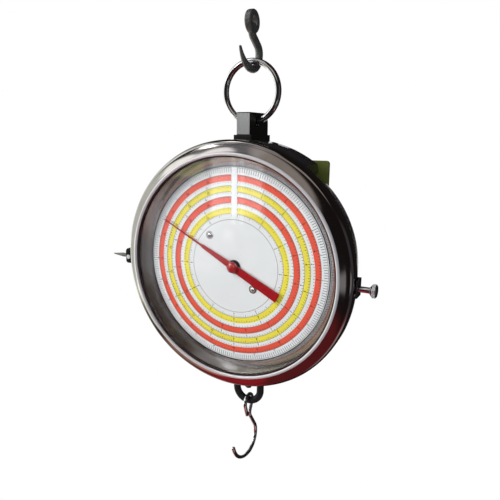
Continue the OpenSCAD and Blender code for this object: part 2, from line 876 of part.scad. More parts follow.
// Flat glass.
module lens() {
    color("lightcyan", 0.35) from_hub() depth_bar(lens_r, lens_back_y - lens_t, lens_back_y);
}

// Polished ring that slopes from the glass to the edge of the dial and holds the glass in.
module reflector_ring() {
    wall = 0.8;
    color("gray") from_hub() turned()
        polygon([[99.4, -0.5], [108, lens_back_y], [115.2, lens_back_y], [115.2, lens_back_y + wall],
                 [108.5, lens_back_y + wall], [99.4 + wall, -0.5]]);
}

// Knurled thumb screw that clamps the bezel from the right.
module thumb_screw() {
    tip = bezel_r + skirt_gap;
    collar_x = 136.8;
    head_x = 138;
    head_r = 6.3;
    color("silver") from_hub() {
        cross_bar(clamp_shaft_r, tip, collar_x + 1, clamp_axis);
        cross_bar(3.8, collar_x, head_x, clamp_axis);
        translate([head_x, clamp_axis[0], clamp_axis[1]]) rotate([0, 90, 0]) {
            cylinder(h = 1, r1 = head_r - 1, r2 = head_r);
            translate([0, 0, 1]) cylinder(h = 3, r = head_r);
            translate([0, 0, 4]) cylinder(h = 0.8, r1 = head_r, r2 = head_r - 0.8);
        }
    }
}

suspension_hook();
suspension_ring();
hanger_lug();
saddle();
saddle_rivets();
hanger_bolts();
hanger_spacers();
case_pan();
back_plate();
back_plate_screws();
chassis_pillars();
chassis_plate();
spring_anchor();
anchor_screws();
rest_stops();
rack_guide();
rod_guide();
bridge_pillars();
bearing_bridge();
front_bush();
rear_bush();
dial_posts();
dial_plate();
dial_screws();
dial_bushing();
clamp_lug();
pin_lug();
locating_pin();
pin_set_screw();
pointer_shaft();
pinion();
pointer();
pointer_cap();
left_spring();
right_spring();
crosshead();
rack();
rack_screws();
draw_rod();
rod_nut();
load_loop();
loop_nut();
load_hook();
bezel_ring();
lens_gasket();
lens();
reflector_ring();
thumb_screw();
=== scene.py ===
import math

import bmesh
import bpy
from mathutils import Matrix, Vector


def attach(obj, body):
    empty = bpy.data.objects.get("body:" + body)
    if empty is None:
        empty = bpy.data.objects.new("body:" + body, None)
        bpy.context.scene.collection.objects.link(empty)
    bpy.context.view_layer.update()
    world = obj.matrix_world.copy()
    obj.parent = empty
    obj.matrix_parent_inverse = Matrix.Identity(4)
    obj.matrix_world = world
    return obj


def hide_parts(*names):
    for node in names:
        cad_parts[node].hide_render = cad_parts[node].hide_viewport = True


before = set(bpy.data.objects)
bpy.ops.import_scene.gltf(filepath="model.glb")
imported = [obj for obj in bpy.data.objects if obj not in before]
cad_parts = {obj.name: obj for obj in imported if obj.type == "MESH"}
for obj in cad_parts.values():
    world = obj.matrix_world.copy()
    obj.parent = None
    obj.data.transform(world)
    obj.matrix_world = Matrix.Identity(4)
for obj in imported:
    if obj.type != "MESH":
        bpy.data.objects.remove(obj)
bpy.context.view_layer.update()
scene = bpy.context.scene

# ---------------------------------------------------------------------------------------------------
# Camera, lamps and room.
# Three soft lamps light the scale from the upper left, the front and above, over a pale floor. Chrome
# and glass mirror a dim room with soft windows instead of the lamps, and only mirrors see that room.
# ---------------------------------------------------------------------------------------------------
camera_data = bpy.data.cameras.new("camera")
camera_data.lens = 36.25
camera_data.sensor_width = 36
camera_data.clip_start = 0.01
camera_data.clip_end = 50
camera = bpy.data.objects.new("camera", camera_data)
scene.collection.objects.link(camera)
view_right = Vector((0.8966, 0.4427, 0.0094))
view_up = Vector((-0.1074, 0.1968, 0.9745))
view_back = Vector((0.4295, -0.8748, 0.2240))
camera.matrix_world = (Matrix.Translation((0.22868, -0.46579, -0.10542))
                       @ Matrix((view_right, view_up, view_back)).transposed().to_4x4())
scene.camera = camera
scene.view_settings.view_transform = "Standard"


def new_material(name):
    """An empty material, with its node tree and its output."""
    made = bpy.data.materials.new(name)
    made.use_nodes = True
    made.node_tree.nodes.clear()
    return made, made.node_tree, made.node_tree.nodes.new("ShaderNodeOutputMaterial")


def add_node(tree, kind, inputs, **settings):
    """A new node with its settings, and a link or a plain value for each input given."""
    made = tree.nodes.new(kind)
    for setting, value in settings.items():
        setattr(made, setting, value)
    for name, value in inputs.items():
        if isinstance(value, bpy.types.NodeSocket):
            tree.links.new(value, made.inputs[name])
        else:
            made.inputs[name].default_value = value
    return made


def calc(tree, operation, *values):
    """A Math node: values are sockets or numbers."""
    return add_node(tree, "ShaderNodeMath", dict(enumerate(values)), operation=operation).outputs[0]


def is_zero(tree, value):
    """1 where a whole number is 0, and 0 elsewhere."""
    return calc(tree, "LESS_THAN", value, 0.5)


def seen_directly(tree):
    """1 for what the camera sees, directly or in a mirror or through glass, and 0 for light on the object."""
    path = tree.nodes.new("ShaderNodeLightPath").outputs
    seen = calc(tree, "MAXIMUM", path["Is Camera Ray"], path["Is Glossy Ray"])
    seen = calc(tree, "MAXIMUM", seen, path["Is Transmission Ray"])
    return calc(tree, "MULTIPLY", seen, is_zero(tree, path["Diffuse Depth"]))


def mix_to(out, tree, share, low, high):
    """Gives the output a surface that is low where share is 0 and high where share is 1."""
    mixed = add_node(tree, "ShaderNodeMixShader", {0: share, 1: low.outputs[0], 2: high.outputs[0]})
    tree.links.new(mixed.outputs[0], out.inputs["Surface"])


world = bpy.data.worlds.new("studio")
world.use_nodes = True
scene.world = world
sky = world.node_tree
sky.nodes.clear()
soft_light = add_node(sky, "ShaderNodeBackground", {"Color": (0.86, 0.90, 1.0, 1), "Strength": 0.35})
white_back = add_node(sky, "ShaderNodeBackground", {"Color": (1, 1, 1, 1), "Strength": 1.0})
mix_to(sky.nodes.new("ShaderNodeOutputWorld"), sky, seen_directly(sky), soft_light, white_back)


def lamp(name, place, aim, width, height, watts, colour):
    """A rectangular soft lamp that faces aim."""
    data = bpy.data.lights.new(name, "AREA")
    data.shape = "RECTANGLE"
    data.size, data.size_y, data.energy, data.color = width, height, watts, colour
    made = bpy.data.objects.new(name, data)
    scene.collection.objects.link(made)
    made.location = place
    made.rotation_euler = (Vector(aim) - Vector(place)).to_track_quat("-Z", "Y").to_euler()
    return made


# millimetres that the middle of the hanging eye lies behind and above the middle of the dial
eye_y, eye_z = 35, 234.5
dial_middle = (0, -eye_y / 1000, -eye_z / 1000)
for unmirrored_lamp in (lamp("key_lamp", (-0.92, -1.3, 0.64), dial_middle, 0.6, 0.5, 13, (1, 0.98, 0.95)),
                        lamp("fill_lamp", (0.5, -1.6, 0.2), dial_middle, 0.6, 0.6, 5, (0.92, 0.96, 1)),
                        lamp("top_lamp", (-0.5, 0.1, 1.1), dial_middle, 0.7, 0.5, 5, (1, 1, 1))):
    unmirrored_lamp.visible_glossy = False

# pale floor, well under the hook: plain white to the camera, and it throws soft light back up
floor_mesh = bpy.data.meshes.new("floor")
floor_z, floor_half = -0.95, 4.0
floor_mesh.from_pydata([(x * floor_half, y * floor_half, floor_z)
                        for x, y in ((-1, -1), (1, -1), (1, 1), (-1, 1))], [], [(0, 1, 2, 3)])
floor = bpy.data.objects.new("floor", floor_mesh)
scene.collection.objects.link(floor)
floor_material, floor_tree, floor_out = new_material("pale_floor")
floor_paint = add_node(floor_tree, "ShaderNodeBsdfDiffuse", {"Color": (0.8, 0.8, 0.8, 1)})
floor_glow = floor_tree.nodes.new("ShaderNodeEmission")
mix_to(floor_out, floor_tree, seen_directly(floor_tree), floor_paint, floor_glow)
floor_mesh.materials.append(floor_material)
floor.visible_glossy = floor.visible_transmission = False

# A dim room round the scale, which only mirrors show: dark walls with soft windows in them.
room_material, room_tree, room_out = new_material("dim_room")


def soft_step(tree, value, edge, soft):
    """1 where value is under edge, falling to 0 over soft."""
    return add_node(tree, "ShaderNodeMapRange", {"Value": value, "From Min": edge + soft, "From Max": edge},
                    interpolation_type="SMOOTHSTEP").outputs["Result"]


def window(tree, round_way, up_way, turn, height, half_turn, half_height, soft, colour):
    """The light of a window: its middle, half sizes and soft edge are degrees round from the front and up."""
    across = calc(tree, "ABSOLUTE", calc(tree, "SUBTRACT", round_way, math.radians(turn)))
    up = calc(tree, "ABSOLUTE", calc(tree, "SUBTRACT", up_way, math.radians(height)))
    share = calc(tree, "MULTIPLY", soft_step(tree, across, math.radians(half_turn), math.radians(soft)),
                 soft_step(tree, up, math.radians(half_height), math.radians(soft)))
    return add_node(tree, "ShaderNodeVectorMath", {0: colour, "Scale": share}, operation="SCALE").outputs[0]


room_place = room_tree.nodes.new("ShaderNodeTexCoord")
room_way = add_node(room_tree, "ShaderNodeVectorMath", {0: room_place.outputs["Object"]},
                    operation="NORMALIZE").outputs[0]
room_axes = add_node(room_tree, "ShaderNodeSeparateXYZ", {0: room_way}).outputs
round_way = calc(room_tree, "ARCTAN2", room_axes["X"], calc(room_tree, "MULTIPLY", room_axes["Y"], -1))
up_way = calc(room_tree, "ARCSINE", room_axes["Z"])
wall_light = {"X": 0.016, "Y": 0.012, "Z": 0.012}
room_light = add_node(room_tree, "ShaderNodeCombineXYZ", wall_light).outputs[0]
# turn, height, half turn, half height, soft edge and light of every soft pane in the room
for pane in (
        (-27.4, -3.8, 3.0, 3.8, 0.8, (1.6, 1.65, 1.7)),     # window in the glass of the scale, and its bars
        (-27.9, -4.0, 0.15, 5.0, 0.3, (0.9, 0.9, 0.95)),
        (-26.8, -4.0, 0.1, 5.0, 0.3, (0.8, 0.8, 0.85)),
        (-28.6, -10.6, 0.2, 0.2, 1.0, (0.7, 0.7, 0.7)),     # small lamps
        (-40, 24, 2, 2, 2, (7.0, 7.0, 7.0)),
        (-46, 38, 10, 2, 5, (1.5, 1.5, 1.5)),               # strip lamp
        (-34.0, -1.6, 1.8, 0.9, 0.8, (0.8, 0.95, 0.25)),    # leaves
        (-31.0, 0.3, 1.6, 0.6, 0.5, (0.9, 0.06, 0.06)),     # red sign
        (-43, -7, 12, 7, 4, (0.50, 0.51, 0.56)),            # pale wall on the left, in front
        (-78, 12, 20, 34, 7, (0.90, 0.95, 0.88)),           # tall window on the left, and smaller ones
        (-62, 24, 6, 6, 4, (1.0, 1.0, 1.0)),
        (-87, -28, 10, 5, 4, (1.1, 1.1, 0.9)),
        (-93, -14, 9, 6, 4, (0.80, 0.85, 0.70)),
        (-118, -8, 20, 30, 12, (0.85, 0.83, 0.85)),         # pale wall on the left, behind
        (-118, -52, 14, 8, 8, (0.70, 0.70, 0.72)),          # table on the left, with boxes on it
        (-80, -50, 14, 8, 8, (0.50, 0.30, 0.22)),
        (-112, -70, 20, 6, 6, (0.40, 0.10, 0.10)),
        (10, -58, 60, 20, 12, (0.15, 0.008, 0.012)),        # red cloth in front
        (-50, -64, 22, 9, 8, (0.30, 0.004, 0.010)),
        (64, -56, 18, 12, 10, (0.34, 0.32, 0.32)),          # table on the right
        (70, -8, 20, 24, 12, (0.05, 0.05, 0.06)),           # dim wall on the right
        (4, 36, 22, 9, 8, (0.40, 0.36, 0.33)),              # ceiling, with a lamp
        (-36, 34, 16, 8, 8, (0.22, 0.22, 0.24)),
        (-36, 66, 40, 8, 8, (0.46, 0.45, 0.46)),
        (-60, 60, 8, 3, 5, (2.6, 2.6, 2.6)),
        (38, -15, 12, 3, 3, (0.30, 0.30, 0.31)),            # shelf on the right
):
    pane_light = window(room_tree, round_way, up_way, *pane)
    room_light = add_node(room_tree, "ShaderNodeVectorMath", {0: room_light, 1: pane_light},
                          operation="ADD").outputs[0]
room_glow = add_node(room_tree, "ShaderNodeEmission", {"Color": room_light})
# the room is open behind the scale, this many degrees round the way that the camera looks
open_turn = 24
open_dot = add_node(room_tree, "ShaderNodeVectorMath", {0: room_way, 1: -view_back}, operation="DOT_PRODUCT")
in_opening = calc(room_tree, "GREATER_THAN", open_dot.outputs["Value"], math.cos(math.radians(open_turn)))
unmirrored = is_zero(room_tree, room_tree.nodes.new("ShaderNodeLightPath").outputs["Glossy Depth"])
mix_to(room_out, room_tree, calc(room_tree, "MAXIMUM", unmirrored, in_opening), room_glow,
       room_tree.nodes.new("ShaderNodeBsdfTransparent"))
room_bm = bmesh.new()
bmesh.ops.create_uvsphere(room_bm, u_segments=48, v_segments=24, radius=3.0)
room_mesh = bpy.data.meshes.new("room")
room_bm.to_mesh(room_mesh)
room_bm.free()
room_mesh.materials.append(room_material)
room = bpy.data.objects.new("room", room_mesh)
scene.collection.objects.link(room)
room.location = dial_middle
room.visible_camera = room.visible_diffuse = False
room.visible_shadow = room.visible_volume_scatter = False


# ---------------------------------------------------------------------------------------------------
# Suspension hook.
# Forged and darkened steel, bent from 7.6 mm bar and drawn to a point, with a flat eye at the top.
# The ring of the scale rests in its bend.
# ---------------------------------------------------------------------------------------------------
def spot(x, y, z):
    """A place in metres, from millimetres right of, behind and above the middle of the dial."""
    return Vector((x, y - eye_y, z - eye_z)) / 1000


def mottled(name, dark, light, metallic, rough, grain=300, bump=0.02, stretch=(1, 1, 1), coat=0.0):
    """A finish with two close colours in soft patches, a roughness that varies, and a fine bump."""
    made, tree, out = new_material(name)
    patch_size, bump_strength, coat_rough = 4, 0.6, 0.05
    place = tree.nodes.new("ShaderNodeTexCoord").outputs["Object"]
    mapped = add_node(tree, "ShaderNodeMapping", {"Scale": stretch, "Vector": place}).outputs[0]
    patches = add_node(tree, "ShaderNodeTexNoise", {
        "Scale": grain / patch_size, "Detail": 4, "Vector": mapped}).outputs["Fac"]
    tone = add_node(tree, "ShaderNodeMix", {"A": (*dark, 1), "B": (*light, 1), "Factor": patches},
                    data_type="RGBA")
    fine = add_node(tree, "ShaderNodeTexNoise", {
        "Scale": grain, "Detail": 6, "Vector": mapped}).outputs["Fac"]
    spread = add_node(tree, "ShaderNodeMapRange", {"To Min": rough[0], "To Max": rough[1], "Value": fine})
    relief = add_node(tree, "ShaderNodeBump", {
        "Strength": bump_strength, "Distance": bump / 1000, "Height": fine})
    shader = add_node(tree, "ShaderNodeBsdfPrincipled", {
        "Metallic": metallic, "Coat Weight": coat, "Coat Roughness": coat_rough,
        "Base Color": tone.outputs["Result"], "Roughness": spread.outputs["Result"],
        "Normal": relief.outputs[0]})
    tree.links.new(shader.outputs[0], out.inputs["Surface"])
    return made


def piece(name, bm, material, body, nodes, sharp=35):
    """Turns a bmesh into a finished piece that rides on body and stands for the CAD nodes."""
    bmesh.ops.remove_doubles(bm, verts=bm.verts, dist=1e-6)
    bmesh.ops.recalc_face_normals(bm, faces=bm.faces)
    mesh = bpy.data.meshes.new(name)
    bm.to_mesh(mesh)
    bm.free()
    for face in mesh.polygons:
        face.use_smooth = True
    mesh.set_sharp_from_angle(angle=math.radians(sharp))
    mesh.materials.append(material)
    made = bpy.data.objects.new(name, mesh)
    scene.collection.objects.link(made)
    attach(made, body)
    if nodes:
        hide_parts(*nodes)
    return made


def bent_path(steps, y, z, heading, point_turn=3):
    """Points of a bar bent in the plane of depth and height. A step is a run, a bend and its radius."""
    points = []
    for run, bend, radius in steps:
        if run > 0:
            points.append((0, y, z))
        y += run * math.cos(math.radians(heading))
        z += run * math.sin(math.radians(heading))
        if bend:
            side = math.copysign(1, bend)
            mid_y = y - side * radius * math.sin(math.radians(heading))
            mid_z = z + side * radius * math.cos(math.radians(heading))
            count = math.ceil(abs(bend) / point_turn)
            for k in range(count + 1):
                a = math.radians(heading + bend * k / count)
                y, z = mid_y + side * radius * math.sin(a), mid_z - side * radius * math.cos(a)
                if k < count:
                    points.append((0, y, z))
            heading += bend
    points.append((0, y, z))
    return points


def tube(bm, path, radii, sides=24, lean=Vector((1, 0, 0))):
    """Sweeps a round bar along a path of dial millimetres, with rounded ends."""
    points = [Vector(p) for p in path]
    rings = []
    for i, p in enumerate(points):
        along = (points[min(i + 1, len(points) - 1)] - points[max(i - 1, 0)]).normalized()
        u = (lean - along * lean.dot(along)).normalized()
        rings.append((p, radii[i], along, u))
    end_share, end_turns = 0.6, (30, 55, 78)
    for end, way in ((rings[0], -1), (rings[-1], 1)):
        p, r, along, u = end
        dome = [(p + along * way * (r * end_share * math.sin(a)), r * math.cos(a), along, u)
                for a in map(math.radians, end_turns)]
        rings = rings + dome if way == 1 else dome[::-1] + rings
    rows = []
    for p, r, along, u in rings:
        v = along.cross(u)
        rows.append([bm.verts.new(spot(*(p + r * (math.cos(2 * math.pi * k / sides) * u
                                                  + math.sin(2 * math.pi * k / sides) * v))))
                     for k in range(sides)])
    for low, high in zip(rows, rows[1:]):
        for k in range(sides):
            bm.faces.new((low[k], low[(k + 1) % sides], high[(k + 1) % sides], high[k]))
    bm.faces.new(rows[0][::-1])
    bm.faces.new(rows[-1])


def ring_of(bm, outline, centre, axis, steps=96):
    """Turns a closed outline of (radius, place along the axis) round an axis through centre, in mm."""
    across = {"X": (Vector((0, 1, 0)), Vector((0, 0, 1)), Vector((1, 0, 0))),
              "Y": (Vector((1, 0, 0)), Vector((0, 0, 1)), Vector((0, 1, 0))),
              "Z": (Vector((1, 0, 0)), Vector((0, 1, 0)), Vector((0, 0, 1)))}[axis]
    rows = []
    for k in range(steps):
        a = 2 * math.pi * k / steps
        outward = math.cos(a) * across[0] + math.sin(a) * across[1]
        rows.append([bm.verts.new(spot(*(Vector(centre) + r * outward + h * across[2]))) for r, h in outline])
    count = len(outline)
    for k in range(steps):
        one, two = rows[k], rows[(k + 1) % steps]
        for i in range(count):
            j = (i + 1) % count
            bm.faces.new((one[i], one[j], two[j], two[i]))


def rounded(corners, radius, steps=4):
    """Rounds every corner of a closed outline by radius, or by its own radius where radius is a list."""
    out = []
    count = len(corners)
    most_of_side = 0.49
    for i, corner in enumerate(corners):
        here = Vector(corner)
        before = Vector(corners[i - 1]) - here
        after = Vector(corners[(i + 1) % count]) - here
        r = radius[i] if isinstance(radius, (list, tuple)) else radius
        half = before.angle(after) / 2
        reach = min(r / math.tan(half), most_of_side * before.length, most_of_side * after.length)
        if r <= 0 or reach <= 0:
            out.append(tuple(here))
            continue
        r = reach * math.tan(half)
        one, two = here + before.normalized() * reach, here + after.normalized() * reach
        middle = here + (before.normalized() + after.normalized()).normalized() * (r / math.sin(half))
        start, stop = one - middle, two - middle
        turn = start.angle_signed(stop)
        for k in range(steps + 1):
            a = -turn * k / steps
            out.append((middle.x + start.x * math.cos(a) - start.y * math.sin(a),
                        middle.y + start.x * math.sin(a) + start.y * math.cos(a)))
    return out


def settled(made):
    """The piece, with its modifiers made a lasting part of its mesh."""
    mesh = bpy.data.meshes.new_from_object(made.evaluated_get(bpy.context.evaluated_depsgraph_get()))
    made.modifiers.clear()
    made.data = mesh
    return made


def fused(made, voxel, smooth):
    """Melts the overlapping solids of a piece into one skin, as a forging, and smooths it."""
    melt = made.modifiers.new("melt", "REMESH")
    melt.mode, melt.voxel_size, melt.use_smooth_shade = "VOXEL", voxel / 1000, True
    ease = made.modifiers.new("ease", "SMOOTH")
    ease.iterations, ease.factor = smooth, 0.5
    settled(made)


hook_steel = mottled("darkened_steel", (0.10, 0.105, 0.095), (0.24, 0.245, 0.23), 0.7, (0.26, 0.45), 420,
                     0.05)
hook_tip_turn, hook_tip_r = 69, 27.5
hook_low_y, hook_low_z, hook_bar_r = 36, 191.2, 3.8
# from the point on: millimetres of straight bar, degrees of bend and the radius of the bend
hook_steps = [(0, hook_tip_turn, hook_tip_r), (0, 90, 15.5), (0, 55, 9), (11.9, -55, 7), (5, 0, 0)]
hook_path = bent_path(
    hook_steps, hook_low_y - hook_tip_r * math.sin(math.radians(hook_tip_turn)),
    hook_low_z + hook_tip_r * (1 - math.cos(math.radians(hook_tip_turn))), -hook_tip_turn)
# share of the bar's full size at its point, what it grows by, and over how many places of the path
point_share, point_growth, point_places = 0.34, 0.66, 18
hook_radii = [hook_bar_r * (point_share + point_growth * min(1, i / point_places))
              for i in range(len(hook_path))]
hook_bm = bmesh.new()
tube(hook_bm, hook_path, hook_radii)
bore_r, eye_r, eye_half = 6, 11, 3.55
ring_of(hook_bm, rounded([(bore_r, -eye_half), (eye_r, -eye_half), (eye_r, eye_half), (bore_r, eye_half)],
                         [0.6, 1.6, 1.6, 0.6]), (0, eye_y, eye_z), "X", 72)
hook = piece("hook_forging", hook_bm, hook_steel, "hanger", ["suspension_hook"], 80)
fused(hook, 0.4, 4)


# ---------------------------------------------------------------------------------------------------
# Suspension ring.
# Bright chromed steel wire, 6.2 mm thick, bent to a ring and welded. It hangs in the hook's bend and
# passes through the hanger lug.
# ---------------------------------------------------------------------------------------------------
def arc(middle_r, middle_h, r, turns):
    """Points of an outline on an arc round (middle_r, middle_h), one for each of the turns in degrees."""
    return [(middle_r + r * math.cos(math.radians(a)), middle_h + r * math.sin(math.radians(a)))
            for a in turns]


chrome = mottled("bright_chrome", (0.80, 0.81, 0.82), (0.92, 0.92, 0.93), 1.0, (0.04, 0.10), 700, 0.01)
ring_r, ring_wire_r, ring_z = 28.7, 3.1, 169.8
ring_bm = bmesh.new()
ring_of(ring_bm, arc(ring_r, 0, ring_wire_r, range(0, 360, 12)), (0, eye_y, ring_z), "Y", 160)
piece("ring_wire", ring_bm, chrome, "ring", ["suspension_ring"], 80)


# ---------------------------------------------------------------------------------------------------
# Hanger lug.
# A thick steel plate with a drilled bore for the ring and a foot that is bolted down through the
# saddle. Its front faces carry a painted reflection in bright bare steel, and all its edges are broken.
# ---------------------------------------------------------------------------------------------------
def softened(name, node, material, body, width, segments=3):
    """A copy of a CAD node with its edges broken by a small round."""
    flat_turn, edge_turn, smooth_turn = 0.6, 32, 40
    bm = bmesh.new()
    bm.from_mesh(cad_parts[node].data)
    bmesh.ops.remove_doubles(bm, verts=bm.verts, dist=1e-6)
    bmesh.ops.dissolve_limit(bm, angle_limit=math.radians(flat_turn), verts=bm.verts, edges=bm.edges)
    made = piece(name, bm, material, body, [node], smooth_turn)
    edge = made.modifiers.new("broken_edges", "BEVEL")
    edge.width, edge.segments, edge.limit_method = width / 1000, segments, "ANGLE"
    edge.angle_limit = math.radians(edge_turn)
    edge.harden_normals = True
    edge.use_clamp_overlap = True


# the bare steel on the lug's front is a painted reflection, and the rest of the lug is black paint
lug_steel = mottled("black_lug_with_painted_reflection", (0.45, 0.45, 0.445), (0.58, 0.58, 0.57), 0.45, (0.34, 0.48), 500, 0.03,
                    (1, 1, 0.15))
lug_tree = lug_steel.node_tree
lug_reflection_steel = next(node for node in lug_tree.nodes if node.type == "BSDF_PRINCIPLED")
lug_out = next(node for node in lug_tree.nodes if node.type == "OUTPUT_MATERIAL")
lug_black = add_node(lug_tree, "ShaderNodeBsdfPrincipled", {
    "Base Color": (0.012, 0.013, 0.010, 1), "Roughness": lug_reflection_steel.inputs["Roughness"].links[0].from_socket,
    "Normal": lug_reflection_steel.inputs["Normal"].links[0].from_socket})
lug_place = lug_tree.nodes.new("ShaderNodeTexCoord").outputs
lug_facing = add_node(lug_tree, "ShaderNodeSeparateXYZ", {0: lug_place["Normal"]}).outputs["Y"]
lug_height = add_node(lug_tree, "ShaderNodeSeparateXYZ", {0: lug_place["Object"]}).outputs["Z"]
# painted reflection: bright bare steel where the plate faces the front, above its foot, and black elsewhere
front_facing, lug_foot_top_z = -0.8, 129
lug_painted_reflection = calc(lug_tree, "MULTIPLY", calc(lug_tree, "LESS_THAN", lug_facing, front_facing),
                  calc(lug_tree, "GREATER_THAN", lug_height, spot(0, 0, lug_foot_top_z).z))
mix_to(lug_out, lug_tree, lug_painted_reflection, lug_black, lug_reflection_steel)
softened("lug_body", "hanger_lug", lug_steel, "case", 0.7)

# ---------------------------------------------------------------------------------------------------
# Saddle, side lugs and pan.
# Pressed and drawn steel in gloss black stove enamel. The saddle is riveted over the top of the pan,
# and the two lugs are welded to its flange. The left lug is a duller black than the rest.
# ---------------------------------------------------------------------------------------------------
enamel = mottled("black_enamel", (0.012, 0.012, 0.013), (0.026, 0.025, 0.027), 0.0, (0.16, 0.28), 260, 0.02,
                 coat=0.6)
softened("saddle_shell", "saddle", enamel, "case", 0.8)
softened("clamp_bracket", "clamp_lug", enamel, "case", 0.5)
flat_black = mottled("flat_black", (0.003, 0.003, 0.003), (0.007, 0.007, 0.007), 0.0, (0.7, 0.85), 600, 0.02)
softened("pin_block", "pin_lug", flat_black, "case", 0.5)
softened("rivet_heads", "saddle_rivets", enamel, "case", 0.25, 2)

pan_r, pan_wall, pan_back_r, pan_back_y, pan_bend_y, pan_hole_r = 118.3, 1.6, 112, 58, 18, 4
flange_r, flange_in_r, flange_y, flange_in_y, flange_front_y = 122.8, 121.4, 3.3, 1.3, -4
pan_bm = bmesh.new()
ring_of(pan_bm, rounded(
    [(pan_hole_r, pan_back_y), (pan_back_r, pan_back_y), (pan_r, pan_bend_y), (pan_r, flange_y),
     (flange_r, flange_y), (flange_r, flange_front_y), (flange_in_r, flange_front_y),
     (flange_in_r, flange_in_y), (pan_r - pan_wall, flange_in_y), (pan_r - pan_wall, pan_bend_y),
     (pan_back_r - pan_wall, pan_back_y - pan_wall), (pan_hole_r, pan_back_y - pan_wall)],
    [0, 20, 12, 0.8, 0.5, 0.3, 0.3, 0.5, 0.5, 12, 18.4, 0], 8), (0, 0, 0), "Y", 192)
piece("pan_shell", pan_bm, enamel, "case", ["case_pan"], 30)

# ---------------------------------------------------------------------------------------------------
# Back plate and its screws.
# Flat steel, 4 mm thick, in olive green enamel. Four zinc-plated screws with round heads pass it and
# the pan, and end in the chassis pillars.
# ---------------------------------------------------------------------------------------------------
olive = mottled("olive_enamel", (0.10, 0.12, 0.025), (0.17, 0.20, 0.045), 0.0, (0.22, 0.38), 180, 0.03,
                coat=0.3)
softened("plate_body", "back_plate", olive, "case", 0.6)
zinc = mottled("zinc_plate", (0.42, 0.42, 0.42), (0.62, 0.62, 0.60), 1.0, (0.22, 0.40), 900, 0.02)
softened("plate_screws", "back_plate_screws", zinc, "case", 0.25, 2)

# ---------------------------------------------------------------------------------------------------
# Dial plate.
# Aluminium sheet, 1 mm thick, enamelled white, with two yellow and two red bands printed round it
# and thin dark outlines. The bands stop at a white gap at the top.
# ---------------------------------------------------------------------------------------------------
dial_material, dial_tree, dial_out = new_material("printed_dial")
dial_place = dial_tree.nodes.new("ShaderNodeTexCoord").outputs["Object"]
dial_centre = add_node(dial_tree, "ShaderNodeMapping", {
    "Location": (0, eye_y / 1000, eye_z / 1000), "Vector": dial_place})
dial_axes = add_node(dial_tree, "ShaderNodeSeparateXYZ", {0: dial_centre.outputs[0]}).outputs
dial_x, dial_z = dial_axes["X"], dial_axes["Z"]
dial_radius = calc(dial_tree, "MULTIPLY", calc(dial_tree, "SQRT", calc(
    dial_tree, "ADD", calc(dial_tree, "MULTIPLY", dial_x, dial_x),
    calc(dial_tree, "MULTIPLY", dial_z, dial_z))), 1000)
band_white, band_red, band_yellow = (0.80, 0.80, 0.82), (0.83, 0.10, 0.055), (0.87, 0.74, 0.07)
outline_ink = (0.10, 0.08, 0.09)
# inner radius, outer radius and ink of each band
bands = [(53.4, 59.0, band_yellow), (63.8, 69.8, band_red),
         (74.7, 80.35, band_yellow), (85.1, 91.0, band_red)]
line_t, print_r = 0.28, 100
# where each colour starts, in millimetres from the middle: a thin line, the bands and two more lines
ring_stops = [(47.2, outline_ink), (47.55, band_white)]
for low, high, ink in bands:
    ring_stops += [(low - line_t, outline_ink), (low, ink), (high, outline_ink), (high + line_t, band_white)]
ring_stops += [(92.2, outline_ink), (92.4, band_white), (97.6, outline_ink), (97.8, band_white)]
dial_print = add_node(dial_tree, "ShaderNodeValToRGB", {
    "Fac": calc(dial_tree, "DIVIDE", dial_radius, print_r)})
dial_rings = dial_print.color_ramp
dial_rings.interpolation = "CONSTANT"
dial_rings.elements.remove(dial_rings.elements[-1])
dial_rings.elements[0].color = (*band_white, 1)
for radius, ink in ring_stops:
    dial_rings.elements.new(radius / print_r).color = (*ink, 1)
gap_half, gap_start = 3.2, 48.5
beside_middle = calc(dial_tree, "ABSOLUTE", dial_x)
in_gap = calc(dial_tree, "MULTIPLY", calc(dial_tree, "LESS_THAN", beside_middle, gap_half / 1000),
              calc(dial_tree, "GREATER_THAN", dial_z, gap_start / 1000))
with_gap = add_node(dial_tree, "ShaderNodeMix", {
    "Factor": in_gap, "A": dial_print.outputs["Color"], "B": (*band_white, 1)}, data_type="RGBA")
paper = add_node(dial_tree, "ShaderNodeTexNoise", {
    "Scale": 60, "Detail": 5, "Vector": dial_place}).outputs["Fac"]
age_tone = add_node(dial_tree, "ShaderNodeMapRange", {"To Min": 0.93, "To Max": 1.04, "Value": paper})
age = add_node(dial_tree, "ShaderNodeMix", {
    "Factor": 1, "A": with_gap.outputs["Result"], "B": age_tone.outputs["Result"]},
    data_type="RGBA", blend_type="MULTIPLY")
dial_gloss = add_node(dial_tree, "ShaderNodeMapRange", {"To Min": 0.3, "To Max": 0.45, "Value": paper})
dial_shader = add_node(dial_tree, "ShaderNodeBsdfPrincipled", {
    "Base Color": age.outputs["Result"], "Roughness": dial_gloss.outputs["Result"]})
dial_tree.links.new(dial_shader.outputs[0], dial_out.inputs["Surface"])


def dress(node, material):
    """Gives a CAD node its finish."""
    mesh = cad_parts[node].data
    mesh.materials.clear()
    mesh.materials.append(material)


dress("dial_plate", dial_material)


# ---------------------------------------------------------------------------------------------------
# Graduations and figures.
# Thin black print on the dial: a fine ring of ticks round its edge, short ticks on every band, and
# plain figures that count each tenth tick from the gap at the top.
# ---------------------------------------------------------------------------------------------------
def group_sockets(group, kinds):
    """Makes a group's inputs, each of its kind, and its output, and tells the identifiers of the inputs."""
    made = {name: group.interface.new_socket(name, in_out="INPUT", socket_type="NodeSocket" + kind).identifier
            for name, kind in kinds.items()}
    group.interface.new_socket("Made", in_out="OUTPUT", socket_type="NodeSocketGeometry")
    return made


